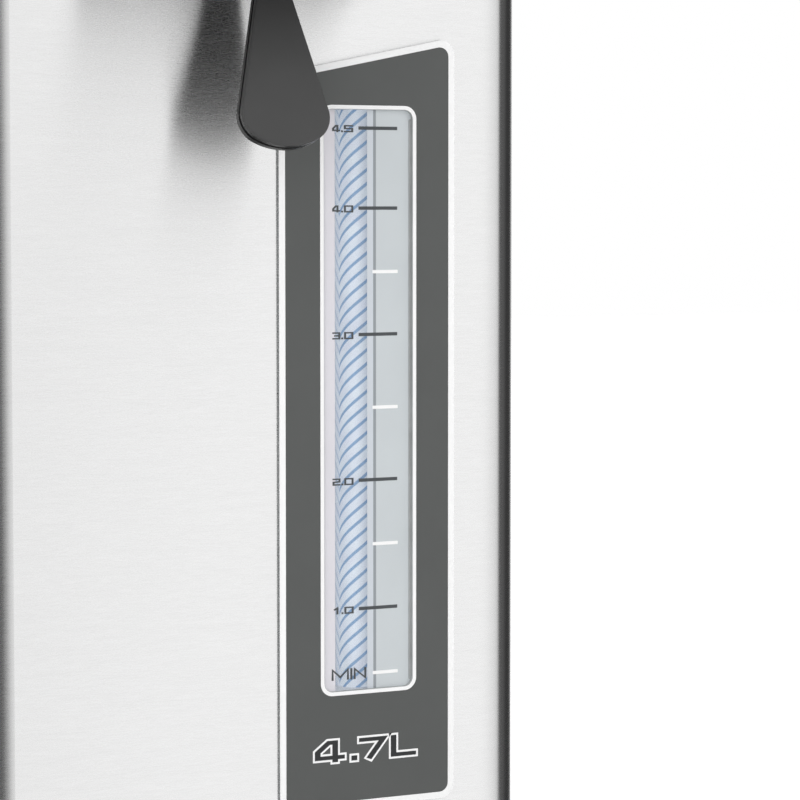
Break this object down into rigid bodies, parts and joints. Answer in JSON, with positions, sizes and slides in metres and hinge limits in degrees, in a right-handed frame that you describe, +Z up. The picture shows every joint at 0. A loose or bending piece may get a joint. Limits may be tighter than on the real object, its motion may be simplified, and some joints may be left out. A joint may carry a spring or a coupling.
{
  "type": "electric water boiler",
  "caption": "Free-standing electric hot water dispenser: stainless body with a level gauge, a spout in a front nose, a cup lever, a hinged lid with a hand pump and a carry handle.",
  "frame": {"origin": "centre of the foot ring's underside, on the table and on the swivel's axis", "axes": "+Z up, -Y to the front with the spout, +X to the right of someone who faces the front"},
  "size_m": [0.2446, 0.311, 0.3847],
  "materials": {
    "foot_rubber": "matte moulded rubber",
    "base_plastic": "fine moulded texture, satin",
    "zinc_steel": "bright zinc plated steel",
    "sleeve_steel": "brushed horizontally, clear",
    "pot_steel": "deep drawn stainless steel, satin",
    "silicone": "translucent silicone rubber",
    "aluminium": "cast and machined",
    "fibre_pad": "pressed ceramic fibre",
    "foil_jacket": "foil faced glass fibre",
    "thermostat_black": "phenolic moulding",
    "motor_steel": "zinc plated can",
    "pump_plastic": "natural polypropylene",
    "gauge_grey": "smooth satin, grey",
    "window_clear": "clear polycarbonate",
    "trough_white": "smooth pale grey",
    "tube_glass": "milky drawn glass, printed on its front",
    "head_plastic": "fine moulded texture, satin",
    "lever_plastic": "smooth satin, dark grey",
    "control_black": "glossy membrane",
    "dispense_cap": "satin silver paint",
    "button_grey": "satin grey",
    "lens_red": "red lens",
    "board_green": "solder resist",
    "plate_silver": "brushed cap, silver",
    "bellows_black": "moulded rubber",
    "spring_steel": "drawn spring wire",
    "handle_plastic": "fine moulded texture",
    "inlet_plastic": "heat resistant moulding",
    "brass": "nickel plated brass"
  },
  "bodies": {
    "base": {"rubber_ring": "foot_rubber", "swivel_plate": "base_plastic", "swivel_retainer": "zinc_steel", "swivel_screw": "zinc_steel"},
    "housing": {"base_tray": "base_plastic", "tie_screws": "zinc_steel", "outer_sleeve": "sleeve_steel", "inner_pot": "pot_steel", "pot_gasket": "silicone", "heater_plate": "aluminium", "insulation_pad": "fibre_pad", "support_pan": "zinc_steel", "thermostats": "thermostat_black", "insulation_jacket": "foil_jacket", "pump_motor": "motor_steel", "pump_housing": "pump_plastic", "inlet_hose": "silicone", "outlet_hose": "silicone", "gauge_panel": "gauge_grey", "gauge_window": "window_clear", "gauge_trough": "trough_white", "level_tube": "tube_glass", "tube_boots": "silicone", "tip_valve": "pump_plastic", "riser_hose": "silicone", "spout_nozzle": "head_plastic", "head_frame": "head_plastic", "hinge_pin": "zinc_steel", "nose_cover": "head_plastic", "nose_screws": "zinc_steel", "lever_pin": "zinc_steel", "lever_switch": "thermostat_black", "control_overlay": "control_black", "indicator_lenses": "lens_red", "control_board": "board_green", "board_screws": "zinc_steel", "handle_pins": "button_grey", "inlet_socket": "inlet_plastic", "inlet_pins": "brass", "power_board": "board_green"},
    "lid": {"lid_shell": "head_plastic", "lid_liner": "pot_steel", "lid_gasket": "silicone", "air_valve": "silicone", "steam_vent": "button_grey", "bellows": "bellows_black", "bellows_spring": "spring_steel", "latch_spring": "spring_steel"},
    "air_pump": {"pump_plate": "plate_silver"},
    "pump_lock": {"pump_lock": "button_grey"},
    "lid_latch": {"lid_latch": "button_grey"},
    "handle": {"handle_bail": "handle_plastic", "handle_grip": "handle_plastic"},
    "lever": {"cup_lever": "lever_plastic", "lever_pad": "lever_plastic"},
    "dispense_button": {"dispense_button": "dispense_cap"},
    "unlock_button": {"unlock_button": "button_grey"},
    "reboil_button": {"reboil_button": "button_grey"},
    "pump_rotor": {"pump_rotor": "pump_plastic"},
    "valve_ball": {"valve_ball": "zinc_steel"}
  },
  "joints": [
    {"name": "swivel", "type": "hinge", "parent": "base", "child": "housing", "pos_m": [0, 0, 0], "axis": [0, 0, 1], "continuous": true},
    {"name": "lid_hinge", "type": "hinge", "parent": "housing", "child": "lid", "pos_m": [0, 0.098, 0.36], "axis": [-1, 0, 0], "range_deg": [0, 95]},
    {"name": "air_pump_press", "type": "slide", "parent": "lid", "child": "air_pump", "axis": [0, 0, -1], "range_m": [0, 0.03], "stiffness_N_per_m": 320, "springref_m": -0.012, "deforming": ["bellows", "bellows_spring"]},
    {"name": "pump_lock_slide", "type": "slide", "parent": "lid", "child": "pump_lock", "axis": [-1, 0, 0], "range_m": [0, 0.008]},
    {"name": "lid_latch_slide", "type": "slide", "parent": "lid", "child": "lid_latch", "axis": [0, 1, 0], "range_m": [0, 0.0042], "stiffness_N_per_m": 500, "springref_m": -0.002, "deforming": ["latch_spring"]},
    {"name": "handle_hinge", "type": "hinge", "parent": "housing", "child": "handle", "pos_m": [0, 0.01, 0.342], "axis": [1, 0, 0], "range_deg": [0, 90]},
    {"name": "lever_hinge", "type": "hinge", "parent": "housing", "child": "lever", "pos_m": [0, -0.1292, 0.338], "axis": [1, 0, 0], "range_deg": [0, 9], "stiffness_Nm_per_rad": 0.9, "springref_deg": -4.58},
    {"name": "dispense_button_press", "type": "slide", "parent": "housing", "child": "dispense_button", "axis": [0, 0.2756, -0.9613], "range_m": [0, 0.0012], "stiffness_N_per_m": 900, "springref_m": -0.0006},
    {"name": "unlock_button_press", "type": "slide", "parent": "housing", "child": "unlock_button", "axis": [0, 0.2756, -0.9613], "range_m": [0, 0.0012], "stiffness_N_per_m": 900, "springref_m": -0.0006},
    {"name": "reboil_button_press", "type": "slide", "parent": "housing", "child": "reboil_button", "axis": [0, 0.2756, -0.9613], "range_m": [0, 0.0012], "stiffness_N_per_m": 900, "springref_m": -0.0006},
    {"name": "pump_spin", "type": "hinge", "parent": "housing", "child": "pump_rotor", "pos_m": [0.0398, -0.052, 0.0315], "axis": [0, 0, 1], "continuous": true},
    {"name": "valve_ball_roll", "type": "slide", "parent": "housing", "child": "valve_ball", "axis": [0, 0, 1], "range_m": [0, 0.0084]}
  ]
}
